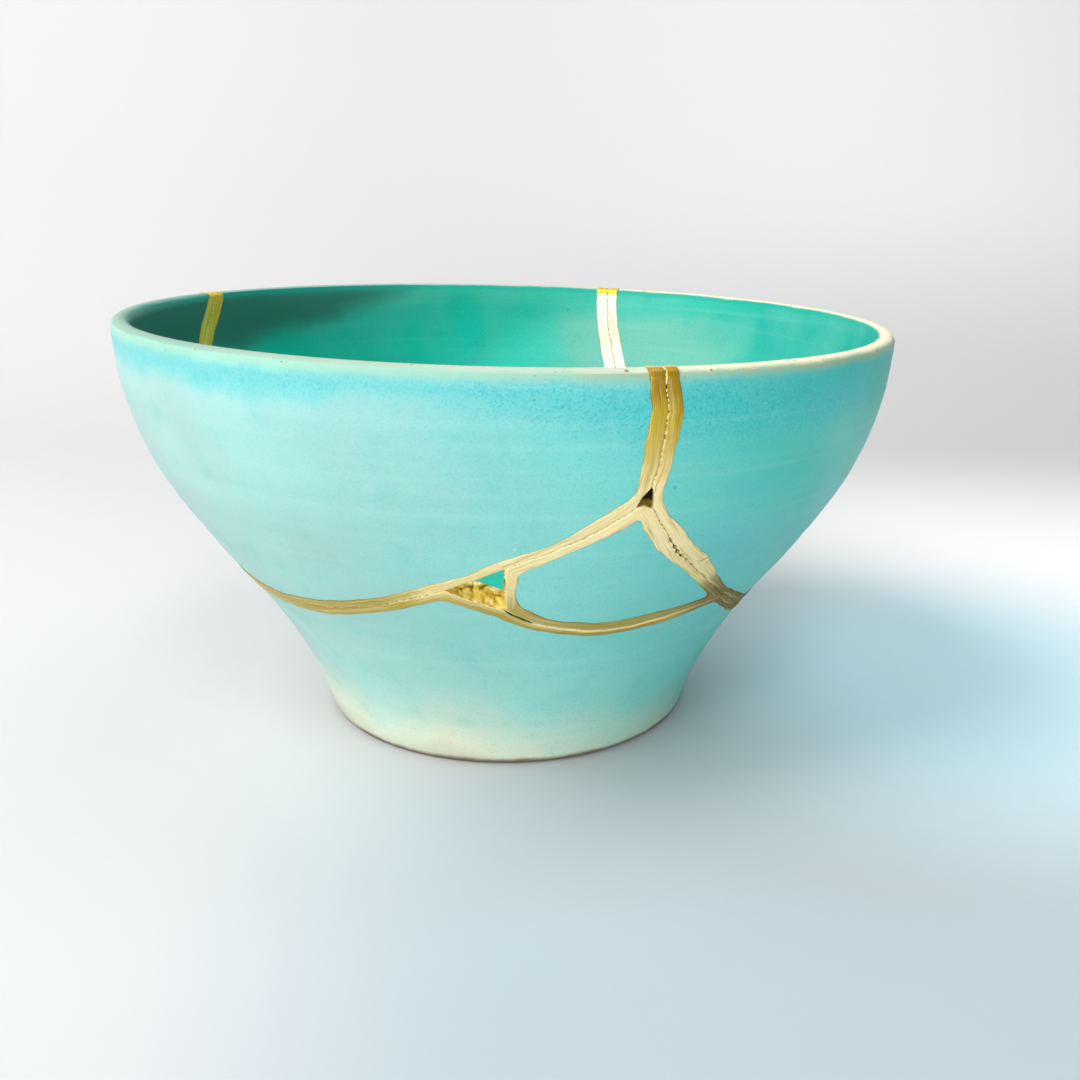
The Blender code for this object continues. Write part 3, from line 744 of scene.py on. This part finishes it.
def glaze_material():
    """Satin turquoise glaze: cream lip with iron specks, mottled blue below it, cream at the foot, and
    painted light and shade: paler outside on the left, deeper on the right, darker inside at the left
    and back.
    """
    n = Nodes("turquoise_glaze")
    place = n.add("ShaderNodeTexCoord", output=3)
    height, sideways = (n.axis(place, number) for number in (2, 0))
    inner, lip = (n.attribute(name) for name in ("inner", "lip"))
    clouds = n.noise(place, 38.0, 3.0, 0.55, 0.4)
    patches = n.noise(place, 150.0, 3.0, 0.62)
    grain = n.noise(place, 2900.0, 3.0, 0.66)
    flecks = n.noise(place, 760.0, 3.0, 0.6)
    rings = n.noise(n.scaled(place, (14.0, 14.0, 620.0)), 1.0, 3.0, 0.55)
    edge = n.nudged(height, clouds, 0.012)
    edge = n.nudged(edge, patches, 0.003)
    share = n.math("DIVIDE", edge, HEIGHT)
    outside_only = n.math("SUBTRACT", 1.0, inner)
    calm = n.nudged(height, clouds, 0.0040)
    calm = n.nudged(calm, patches, 0.0045)
    calm = n.math("DIVIDE", calm, HEIGHT)

    foot_shift = n.times(n.span(sideways, -0.015, 0.020, 0.0, 0.045), n.span(share, 0.40, 0.22))
    body = n.ramp(n.math("ADD", share, foot_shift), (
        (0.00, (0.55, 0.50, 0.36)), (0.045, (0.66, 0.66, 0.48)), (0.12, (0.48, 0.62, 0.50)),
        (0.23, (0.25, 0.58, 0.51)), (0.42, (0.19, 0.57, 0.51)), (0.72, (0.18, 0.575, 0.515)),
        (0.86, (0.14, 0.55, 0.51)), (0.945, (0.11, 0.52, 0.50)), (0.985, (0.17, 0.55, 0.50))))
    sideways = n.nudged(sideways, clouds, 0.03)
    # Painted light: the outside glaze paler towards the left, where the light falls on it.
    pale = n.times(n.span(sideways, 0.024, -0.050), n.span(calm, 0.965, 0.90, 0.20, 0.84))
    pale = n.times(pale, n.span(share, 0.08, 0.24, 0.45, 1.0))
    body = n.mix(pale, body, (0.315, 0.435, 0.415))
    # Painted shade: the outside glaze deeper and darker towards the right, away from the light.
    body = n.mix(n.span(sideways, 0.006, 0.050, 0.0, 0.98), body, (0.002, 0.445, 0.36))
    misty = n.times(n.span(sideways, 0.004, 0.028), n.span(share, 0.80, 0.60))
    misty = n.times(misty, n.span(share, 0.18, 0.36))
    body = n.mix(n.times(misty, 0.55), body, (0.135, 0.475, 0.475))

    hollow = n.ramp(share, (
        (0.10, (0.010, 0.52, 0.42)), (0.55, (0.010, 0.64, 0.52)), (0.80, (0.012, 0.64, 0.52)),
        (0.93, (0.016, 0.50, 0.40)), (0.98, (0.07, 0.50, 0.38))))
    milky = n.times(n.span(sideways, 0.0, 0.020), n.span(sideways, 0.056, 0.034))
    milky = n.times(milky, n.span(share, 0.97, 0.88))
    hollow = n.mix(n.times(milky, 0.85), hollow, (0.26, 0.52, 0.43))
    hollow = n.mix(n.span(sideways, 0.032, 0.054, 0.0, 0.9), hollow, (0.020, 0.39, 0.33))
    n.colour = n.mix(inner, body, hollow)

    n.paint(n.span(clouds, 0.38, 0.68, 0.0, 0.24), (0.30, 0.66, 0.60))
    n.paint(n.span(patches, 0.52, 0.75, 0.0, 0.18), (0.03, 0.42, 0.44))
    n.paint(n.span(rings, 0.48, 0.75, 0.0, 0.12), (0.06, 0.44, 0.42))
    n.paint(n.span(rings, 0.50, 0.25, 0.0, 0.10), (0.42, 0.72, 0.66))
    low_end = n.span(sideways, -0.02, 0.03, 0.90, 0.83)
    band = n.span(n.math("SUBTRACT", calm, low_end), 0.0, 0.075)
    band = n.times(band, n.span(calm, 1.000, 0.970))
    band = n.times(band, outside_only)
    pools = n.times(n.span(clouds, 0.35, 0.62, 0.35, 1.0), band)
    n.paint(n.times(pools, 0.34), (0.010, 0.44, 0.50))
    deep = n.times(n.span(sideways, 0.02, -0.04, 0.0, 0.58), band)
    n.paint(deep, (0.13, 0.38, 0.385))
    motes = n.times(n.span(flecks, 0.50, 0.66), band)
    n.paint(n.times(motes, 0.22), (0.010, 0.38, 0.44))
    strength = n.times(n.line(band, 0.46, 0.20), n.span(sideways, -0.05, 0.01, 0.40, 1.0))
    n.paint(n.times(n.span(grain, 0.50, 0.66), strength), (0.004, 0.34, 0.40))
    n.paint(n.span(grain, 0.45, 0.28, 0.0, 0.12), (0.42, 0.70, 0.65))

    dots = n.spots(place, 330.0, 0.19, 0.055, 2.0)
    n.paint(n.times(dots, 0.55), (0.004, 0.37, 0.46))
    pinholes = n.spots(place, 210.0, 0.075, 0.20, 9.0)
    n.paint(n.times(pinholes, 0.50), (0.52, 0.66, 0.56))

    uneven = n.nudged(lip, patches, 0.34)
    uneven = n.nudged(uneven, grain, 0.25)
    # Painted shadow inside the bowl: the inside glaze darkened a little all over and more towards the
    # left, the back and the top, then painted dark teal at the left and back, where the wall lies in
    # shade.
    away_from_left = (1.0, -0.35, 0.0)
    across = n.add("ShaderNodeVectorMath", {0: place, 1: away_from_left}, output=1,
                   operation="DOT_PRODUCT")
    shaded = n.line(n.math("SUBTRACT", share, 0.80), -0.13, across)
    shaded = n.nudged(shaded, clouds, 0.010)
    shade = n.times(n.span(shaded, -0.010, -0.037, 0.5, 1.0), inner)
    n.paint(shade, (0.42, 0.75, 0.70), "MULTIPLY")
    shade = n.times(n.span(shaded, -0.0625, -0.0755, 0.0, 0.84), inner)
    n.paint(shade, (0.030, 0.13, 0.105))
    under_lip = n.mix(inner, (0.27, 0.45, 0.33), (0.006, 0.32, 0.24))
    n.paint(n.span(uneven, 0.0, 0.40, 0.0, 0.70), under_lip)
    stain = n.times(n.span(uneven, 0.38, 0.50), n.span(uneven, 0.66, 0.54))
    stain = n.times(n.times(stain, outside_only), n.span(patches, 0.42, 0.58, 0.25, 1.0))
    stain = n.times(stain, n.span(sideways, -0.02, 0.02))
    n.paint(n.times(stain, 0.50), (0.46, 0.34, 0.16))
    cream = n.mix(n.span(sideways, -0.045, 0.0), (0.20, 0.34, 0.27), (0.41, 0.48, 0.38))
    cream = n.mix(n.span(sideways, 0.0, 0.05), cream, (0.86, 0.77, 0.52))
    n.paint(n.span(uneven, 0.50, 0.78, 0.0, 0.96), cream)
    iron = n.times(n.spots(place, 800.0, 0.34, 0.20, 4.0), n.span(lip, 0.12, 0.6))
    n.paint(n.times(iron, 0.85), (0.22, 0.11, 0.03))

    foot = n.nudged(height, patches, 0.0018)
    bare = n.times(n.span(foot, 0.0003, 0.0013, 1.0, 0.0), outside_only)
    n.paint(n.times(bare, 0.85), (0.15, 0.085, 0.04))
    n.give("Base Color", n.colour)
    gloss = n.line(patches, 0.16, 0.32)
    n.give("Roughness", n.line(bare, 0.35, gloss))
    n.give("Specular IOR Level", n.line(inner, -0.17, 0.24))
    rough = n.line(grain, 0.35, n.times(rings, 0.9))
    bump = n.add("ShaderNodeBump", {"Strength": 0.25, "Distance": 0.00012, "Height": rough})
    n.give("Normal", bump)
    return n.material


def gold_material():
    """Gold leaf brushed along the cracks, with a broken dark line where its two bands meet, and painted
    reflections, highlights and shade.
    """
    n = Nodes("brushed_gold")
    place = n.add("ShaderNodeTexCoord", output=3)
    brush = n.add("ShaderNodeUVMap", uv_map="Brush")
    groove, border, inner, lip, open_part = (
        n.attribute(name) for name in ("groove", "border", "inner", "lip", "pit"))
    height, sideways, depthwise = (n.axis(place, number) for number in (2, 0, 1))
    chip, crease = (n.attribute(name) for name in ("chip", "fold"))
    clouds = n.noise(place, 190.0, 3.0, 0.55)
    streaks = n.noise(n.scaled(brush, (120.0, 5200.0, 1.0)), 1.0, 4.0, 0.6, 0.3)
    wide = n.noise(n.scaled(brush, (70.0, 1500.0, 1.0)), 1.0, 3.0, 0.5, 0.2)
    scratches = n.noise(n.scaled(brush, (150.0, 7000.0, 1.0)), 1.0, 2.0, 0.5)
    grain = n.noise(place, 2600.0, 3.0, 0.65)
    share = n.nudged(n.math("DIVIDE", height, HEIGHT), clouds, 0.10)
    # Painted reflection: the gold's tone set by height, dark brown near the rim, palest at mid height
    # and darker low down, in place of what the gold mirrors.
    n.colour = n.ramp(share, (
        (0.37, (0.50, 0.37, 0.08)), (0.45, (0.66, 0.50, 0.15)), (0.53, (0.82, 0.65, 0.27)),
        (0.63, (0.98, 0.80, 0.42)), (0.775, (0.96, 0.77, 0.37)), (0.845, (0.80, 0.58, 0.13)),
        (0.90, (0.68, 0.47, 0.030)), (0.955, (0.46, 0.275, 0.010))))
    away = n.math("FRACT", n.axis(brush, 1))
    low = n.span(share, 0.54, 0.47)
    # Painted reflection and highlight on the low seam outside: darker olive gold away from the crack and
    # a pale line along it.
    ring = n.times(low, n.span(inner, 0.5, 0.0))
    n.paint(n.times(ring, n.span(away, 0.00030, 0.00075, 0.0, 0.80)), (0.38, 0.28, 0.035))
    n.paint(n.times(ring, n.span(away, 0.00045, 0.00015, 0.0, 0.80)), (1.0, 0.86, 0.46))
    # Painted reflection: the low gold darker olive towards the left.
    n.paint(n.times(low, n.span(sideways, 0.012, -0.018)), (0.40, 0.305, 0.035))
    # Painted shade: the low gold at the right end darkened to dull brown.
    painted_shade_end = n.times(low, n.span(sideways, 0.020, 0.031))
    n.paint(painted_shade_end, (0.15, 0.105, 0.012))
    # Painted highlight: the inside of the back seam, below the lip, painted pale cream as a glare.
    painted_glare = n.times(n.span(depthwise, 0.0, 0.03), n.span(lip, 0.30, 0.02))
    painted_glare = n.times(painted_glare, n.span(sideways, -0.01, 0.01))
    inside_colour = n.mix(painted_glare, (0.82, 0.58, 0.05), (1.0, 0.92, 0.70))
    n.paint(n.times(inner, 0.92), inside_colour)
    tone = n.line(streaks, 0.55, n.times(wide, 0.45))
    n.paint(n.span(tone, 0.52, 0.34, 0.0, 0.55), (0.36, 0.22, 0.035))
    n.paint(n.span(tone, 0.50, 0.68, 0.0, 0.50), (0.97, 0.84, 0.52))
    n.paint(n.span(scratches, 0.58, 0.68, 0.0, 0.50), (0.13, 0.08, 0.015))
    # Painted highlight: the gold over the top of the lip paler.
    n.paint(n.span(lip, 0.70, 0.95, 0.0, 0.55), (0.80, 0.66, 0.42))
    dashes = n.noise(n.scaled(brush, (1500.0, 900.0, 1.0)), 1.0, 2.0, 0.5)
    stretch = n.noise(n.scaled(brush, (230.0, 30.0, 1.0)), 1.0, 1.0, 0.5)
    line = n.span(groove, 0.20, 0.70)
    upper_part = n.span(share, 0.77, 0.85)
    seen = n.math("MAXIMUM", n.span(stretch, 0.42, 0.52, 0.15, 1.0), upper_part)
    right_seam = n.times(n.span(sideways, 0.0185, 0.0205), n.span(share, 0.73, 0.68))
    seen = n.times(seen, n.line(right_seam, -0.85, 1.0))
    # Painted highlights: bright dashes along the dark line of the seams, mostly on the upper seams.
    gleam = n.times(n.times(line, n.span(dashes, 0.54, 0.48)), seen)
    n.paint(n.times(gleam, 0.95), (1.0, 0.97, 0.86))
    broken = n.times(n.span(dashes, 0.46, 0.56), n.span(stretch, 0.36, 0.50, 0.35, 1.0))
    dark = n.times(line, broken)
    dark = n.math("MAXIMUM", n.times(dark, n.span(gleam, 0.5, 0.0)), open_part)
    dark = n.math("MAXIMUM", dark, n.times(border, 0.85))
    sunk = n.times(n.span(height, 0.0514, 0.0508), n.span(height, 0.0470, 0.0490, 0.25, 1.0))
    sunk = n.times(sunk, open_part)
    bottom = n.mix(sunk, (0.012, 0.008, 0.003), (0.19, 0.11, 0.008))
    n.paint(n.math("MAXIMUM", n.times(dark, 0.95), open_part), bottom)
    # Painted shade beside the crease across the right seam, and a painted highlight along its top.
    beside = n.times(n.span(crease, 0.06, 0.30), n.span(crease, 0.75, 0.45))
    n.paint(n.times(beside, 0.60), (0.30, 0.20, 0.06))
    n.paint(n.span(crease, 0.60, 0.85, 0.0, 0.80), (1.0, 0.93, 0.70))
    crumple = n.noise(place, 700.0, 3.0, 0.6, 0.6)
    foil = n.ramp(crumple, (
        (0.34, (0.16, 0.09, 0.005)), (0.43, (0.62, 0.42, 0.03)), (0.55, (0.88, 0.66, 0.13)),
        (0.63, (1.0, 0.92, 0.62))))
    n.paint(chip, foil)
    n.give("Base Color", n.colour)
    plain = n.math("MAXIMUM", dark, gleam)
    plain = n.math("MAXIMUM", plain, painted_shade_end)
    metal = n.math("SUBTRACT", n.line(upper_part, 0.30, 0.35), plain, clamp=True)
    n.give("Metallic", metal)
    n.give("Specular IOR Level", n.line(dark, -0.25, 0.3))
    gloss = n.line(streaks, 0.24, 0.24)
    n.give("Roughness", n.line(n.math("MAXIMUM", dark, painted_shade_end), 0.35, gloss))
    relief_of = n.line(streaks, 1.0, n.times(wide, 0.9))
    relief_of = n.line(grain, 0.18, relief_of)
    relief_of = n.line(scratches, -0.3, relief_of)
    relief_of = n.line(n.times(crumple, chip), 4.0, relief_of)
    bump = n.add("ShaderNodeBump", {"Strength": 0.38, "Distance": 0.00010, "Height": relief_of})
    n.give("Normal", bump)
    return n.material


def lip_marks(along):
    """Marks for the inside and for the lip, from the distance along the section."""
    return {
        "inner": np.clip((along - LIP_TOP) / 0.0012 + 0.5, 0.0, 1.0),
        "lip": np.clip(1.0 - np.abs(along - LIP_TOP) / 0.0030, 0.0, 1.0),
    }


def shard_pieces(material):
    """The five shards, each a closed shell with plain broken faces under the gold."""
    made = {}
    for name, chain in SHARDS.items():
        rim = CRACKS[chain[0][0]][0].startswith("rim")
        loops = []
        for sides in loops_of(chain, rim):
            widths = [np.maximum(side["half"] * 1.5, SHARD_MARGIN) for side in sides]
            loops.append(closed(trimmed(sides, widths, rim)))
        if rim:
            angles = loops[0][0]
            extra = scattered(angles.min(), angles.max(), loops[0][1].min(), loops[0][1].max())
            sheets = [(loops, extra, strip_chart)]
        else:
            low = loops[0][1].min()
            extra_out = scattered(0.0, 360.0, 0.0, loops[0][1].max())
            extra_in = scattered(0.0, 360.0, loops[1][1].min(), STATIONS[-1])
            charts = (disc_chart, floor_chart)
            if name != "foot_shard":
                ends = loops[0][0].min() - 1.0, loops[0][0].max() + 1.0
                extra_out = scattered(*ends, low, loops[0][1].max())
                extra_in = scattered(*ends, loops[1][1].min(), loops[1][1].max())
                charts = (strip_chart, strip_chart)
            sheets = [([loops[0]], extra_out, charts[0]), ([loops[1]], extra_in, charts[1])]
        points, faces, stations, seconds = [], [], [], []
        total = 0
        for sheet_loops, (angles, alongs), chart in sheets:
            places, triangles = fill(sheet_loops, angles, alongs, chart)
            faces += (triangles + total).tolist()
            points.append(on_skin(places[0], places[1], 0.0))
            stations.append(places[1])
            seconds.append(total)
            total += places.shape[1]
        count = sum(loop.shape[1] for loop in sheets[0][0])
        second = 0 if rim else seconds[1]
        for i in range(count // 2 if rim else count):
            after = i + 1 if rim else (i + 1) % count
            ring = [i, second + (count - i) % count, second + (count - after) % count, after]
            faces.append(list(dict.fromkeys(ring)))
        faces = [face for face in faces if len(face) > 2]
        marks = lip_marks(np.concatenate(stations))
        made[name] = mesh_object(name + "_glazed", np.concatenate(points), faces, marks, None, material,
                                 50.0)
    return made


def gold_piece(material):
    """The seam: two brushed bands beside every crack, right over the lip, and the walls of the chip."""
    points, stations, faces, uvs = [], [], [], []
    marks = {key: [] for key in ("groove", "border", "pit", "chip", "fold")}

    def add_row(places, along, **values):
        """One row of points with its marks, which are 0 where they aren't given."""
        points.append(places)
        stations.append(along)
        for key, rows in marks.items():
            rows.append(np.zeros(len(along)) + values.get(key, 0.0))

    total = 0
    for number, (name, chain) in enumerate(SHARDS.items()):
        rim = CRACKS[chain[0][0]][0].startswith("rim")
        for sides in loops_of(chain, rim):
            band = closed(trimmed(sides, [side["width"] for side in sides], rim))
            line = bare_line(sides)
            half, depth, run, fold = (closed([side[key] for side in sides])
                                      for key in ("half", "depth", "run", "fold"))
            winding = 0.0
            if name == "foot_shard":
                winding = 360.0 if sides[-1]["angle"][-1] > sides[0]["angle"][0] else -360.0
            band = eased(band, winding, CORNER_PASSES)
            step = np.stack([np.radians(band[0] - line[0]) * radius_at(band[1]), band[1] - line[1]])
            jitter = 1 + 0.035 * waves(run, number + 1.0, (0.0031, 0.0052))
            jitter = jitter + 0.008 * waves(run, number + 5.0, (0.0011,))
            band = line + (band - line) * jitter
            reach = np.hypot(*step) * jitter
            spread = np.clip((reach - half * 1.3) / 0.0015, 0.2, 1.0)
            columns = []
            for out, deep in GROOVE_PROFILE:
                columns.append((half * out / reach, depth * deep - 0.00007 * (1 - deep), deep))
            start = half * 1.25 / reach
            for t, rise in BAND_PROFILE:
                level = np.full(reach.shape, -rise)
                if rise > 0:
                    level = level * np.maximum(spread, 0.5) - FOLD_RISE * fold * (t > 0.5)
                columns.append((start + (1 - start) * t, level, 0.0))
            count = line.shape[1]
            edges = {len(columns) - 1: 1.0, len(columns) - 2: 0.25}
            open_part = np.clip((depth - PIT_MARK_STARTS) / PIT_MARK_STARTS, 0.0, 1.0)
            for column, (t, level, deep) in enumerate(columns):
                place = line + (band - line) * t
                add_row(on_skin(*place, level), place[1], groove=deep, border=edges.get(column, 0.0),
                        pit=open_part * (deep > 0.3), fold=fold * (t > 0.5))
            across = [reach * t for t, _, _ in columns]
            runs = run + number
            for column in range(len(columns) - 1):
                near, far = across[column] + number, across[column + 1] + number
                for i in range(count):
                    after = (i + 1) % count
                    a = total + column * count + i
                    b = total + column * count + after
                    faces.append([a, b, b + count, a + count])
                    jump = runs[after] if abs(runs[after] - runs[i]) < 0.003 else runs[i] + 0.0004
                    uvs += [runs[i], near[i], jump, near[after], jump, far[after], runs[i], far[i]]
            total += len(columns) * count

    outer, inner = (bare_line(sides) for sides in loops_of(CHIP, False))
    count = outer.shape[1]
    inner = np.concatenate([inner[:, :1], inner[:, :0:-1]], axis=1)
    start_points = on_skin(outer[0], outer[1], 0.00002)
    end_points = on_skin(inner[0], inner[1], 0.00002)
    middle = (start_points.mean(axis=0) + end_points.mean(axis=0)) / 2
    for k in range(CHIP_LAYERS):
        t = k / (CHIP_LAYERS - 1)
        ring = start_points * (1 - t) + end_points * t
        inward = middle - ring
        inward = inward / np.linalg.norm(inward, axis=1)[:, None]
        bumps = waves(np.arange(count) * FINE_STEP + t * 0.0013, 7.0 + 2.1 * k, (0.0011, 0.0019, 0.0031))
        swell = math.sin(math.pi * t) * (0.00012 + 0.00022 * bumps)
        mid_wall = np.full(count, OUTER_STATIONS[len(OUTER_STATIONS) // 2])
        add_row(ring + inward * swell[:, None], mid_wall, chip=1.0)
    for k in range(CHIP_LAYERS - 1):
        for i in range(count):
            a = total + k * count + i
            b = total + k * count + (i + 1) % count
            faces.append([b, a, a + count, b + count])
            u = i * FINE_STEP + 9.0
            v = k * 0.0003 + 9.0
            uvs += [u + FINE_STEP, v, u, v, u, v + 0.0003, u + FINE_STEP, v + 0.0003]
    attributes = {key: np.concatenate(rows) for key, rows in marks.items()}
    attributes.update(lip_marks(np.concatenate(stations)))
    points = np.concatenate(points)
    return mesh_object("gold_leaf_seam", points, faces, attributes, np.array(uvs), material, 0.0)


gold = gold_piece(gold_material())
shards = shard_pieces(glaze_material())
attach(gold, "root")
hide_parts("gold_seam")
for shard_name, shard in shards.items():
    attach(shard, "root")
    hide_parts(shard_name)


def studio():
    """Pale sweep with painted light and a painted bounce tint, soft light from the left and above, and
    the camera where the photograph was taken.
    """
    profile = [(-1.6, 0.0), (0.20, 0.0)]
    for k in range(1, 17):
        turn = math.radians(90.0 * k / 16)
        profile.append((0.20 + 0.30 * math.sin(turn), 0.30 - 0.30 * math.cos(turn)))
    profile.append((0.50, 1.6))
    points = []
    faces = []
    for k, (y, z) in enumerate(profile):
        points += [(-2.2, y, z), (2.2, y, z)]
        if k:
            faces.append([2 * k - 2, 2 * k - 1, 2 * k + 1, 2 * k])
    n = Nodes("pale_sweep")
    place = n.add("ShaderNodeTexCoord", output=3)
    cloud = n.noise(place, 5.0, 2.0)
    height, front, across = (n.axis(place, number) for number in (2, 1, 0))
    n.colour = n.mix(n.span(cloud, 0.3, 0.7), (0.525, 0.53, 0.535), (0.545, 0.55, 0.555))
    # Painted light: the floor lighter towards the right, standing in for light where the bowl's shadow
    # falls.
    n.paint(n.span(across, 0.0, 0.13), (0.88, 0.88, 0.88))
    n.paint(n.span(front, 0.04, 0.22), (0.52, 0.52, 0.52))
    cool = n.times(n.span(front, 0.0, -0.09), n.span(across, -0.05, 0.0))
    n.paint(cool, (0.385, 0.445, 0.49))
    # Painted bounce light: a cyan tint on the floor just right of the bowl, in its shadow, in place of
    # light thrown off the glaze.
    patch = (0.085, 0.005, 0.0)
    near = n.add("ShaderNodeVectorMath", {0: place, 1: patch}, output=1, operation="DISTANCE")
    n.paint(n.span(near, 0.085, 0.02, 0.0, 0.85), (0.60, 0.88, 0.98))
    # Painted light: the wall lighter towards the right.
    wall = n.mix(n.span(across, -0.10, 0.25), (0.50, 0.50, 0.50), (0.64, 0.64, 0.64))
    n.give("Base Color", n.mix(n.span(height, 0.0, 0.10), n.colour, wall))
    n.give("Roughness", 0.7)
    mesh = bpy.data.meshes.new("pale_sweep")
    mesh.from_pydata(points, [], faces)
    mesh.shade_smooth()
    mesh.materials.append(n.material)
    sweep = bpy.data.objects.new("pale_sweep", mesh)
    bpy.context.scene.collection.objects.link(sweep)

    world = bpy.data.worlds.new("pale_room")
    world.use_nodes = True
    tree = world.node_tree
    background = tree.nodes["Background"]
    way = tree.nodes.new("ShaderNodeTexCoord").outputs["Generated"]
    parts = tree.nodes.new("ShaderNodeSeparateXYZ")
    tree.links.new(way, parts.inputs[0])
    ramp = tree.nodes.new("ShaderNodeMapRange")
    for slot, value in zip((1, 2, 3, 4), ROOM_LIGHT):
        ramp.inputs[slot].default_value = value
    tree.links.new(parts.outputs[0], ramp.inputs[0])
    tree.links.new(ramp.outputs[0], background.inputs[1])
    background.inputs[0].default_value = (0.96, 0.97, 1.0, 1.0)
    bpy.context.scene.world = world

    for name, place, target, size, power, colour in LAMPS:
        data = bpy.data.lights.new(name, "AREA")
        data.shape = "RECTANGLE"
        data.size, data.size_y = size
        data.energy = power
        data.color = colour
        item = bpy.data.objects.new(name, data)
        item.location = place
        item.rotation_euler = (Vector(target) - Vector(place)).to_track_quat("-Z", "Y").to_euler()
        bpy.context.scene.collection.objects.link(item)

    camera = bpy.data.objects.new("camera", bpy.data.cameras.new("camera"))
    yaw, pitch, roll = (math.radians(turn) for turn in CAMERA_TURNS)
    level = math.cos(pitch)
    forward = Vector((math.sin(yaw) * level, math.cos(yaw) * level, -math.sin(pitch)))
    right = Vector((math.cos(yaw), -math.sin(yaw), 0.0))
    up = right.cross(forward)
    side, rise = math.cos(roll), math.sin(roll)
    right, up = right * side + up * rise, up * side - right * rise
    turned = Matrix((right, up, -forward)).transposed().to_4x4()
    camera.matrix_world = Matrix.Translation(CAMERA_PLACE) @ turned
    camera.data.lens = CAMERA_LENS
    camera.data.sensor_width = 36.0
    camera.data.shift_x = CAMERA_SHIFT
    camera.data.shift_y = CAMERA_SHIFT
    camera.data.clip_start = 0.01
    bpy.context.scene.collection.objects.link(camera)
    bpy.context.scene.camera = camera
    bpy.context.scene.view_settings.view_transform = "Standard"


studio()
